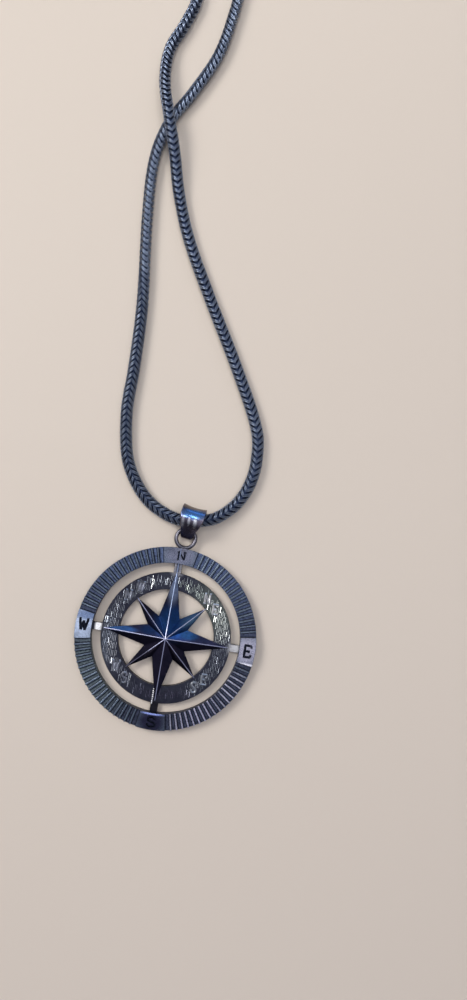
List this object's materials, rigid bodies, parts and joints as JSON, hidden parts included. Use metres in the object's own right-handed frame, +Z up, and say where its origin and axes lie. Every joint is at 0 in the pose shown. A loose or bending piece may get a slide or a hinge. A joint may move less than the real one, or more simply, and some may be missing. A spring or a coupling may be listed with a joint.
{
  "type": "compass pendant necklace",
  "caption": "Round openwork compass pendant with a ridged outer ring, a raised star, a folded bail and a foxtail chain laid in a loop.",
  "frame": {"origin": "centre of the pendant's round frame, on the plane of its flat back, which is the surface it lies on", "axes": "+Y from the pendant's centre to its north letter and bail, along the laid chain; +X to its east letter; +Z up out of its face"},
  "size_m": [0.069, 0.2581, 0.0046],
  "materials": {
    "ring_metal": "satin blue-grey steel with darker grooves",
    "dark_metal": "dark hatched steel",
    "star_metal": "polished near-black navy",
    "bail_metal": "polished steel",
    "chain_metal": "darkened steel, bright on its loops"
  },
  "bodies": {
    "root": {"outer_ring": "ring_metal", "inner_ring": "dark_metal", "compass_star": "star_metal", "bail": "bail_metal", "chain": "chain_metal", "clasp": "chain_metal"}
  },
  "joints": []
}
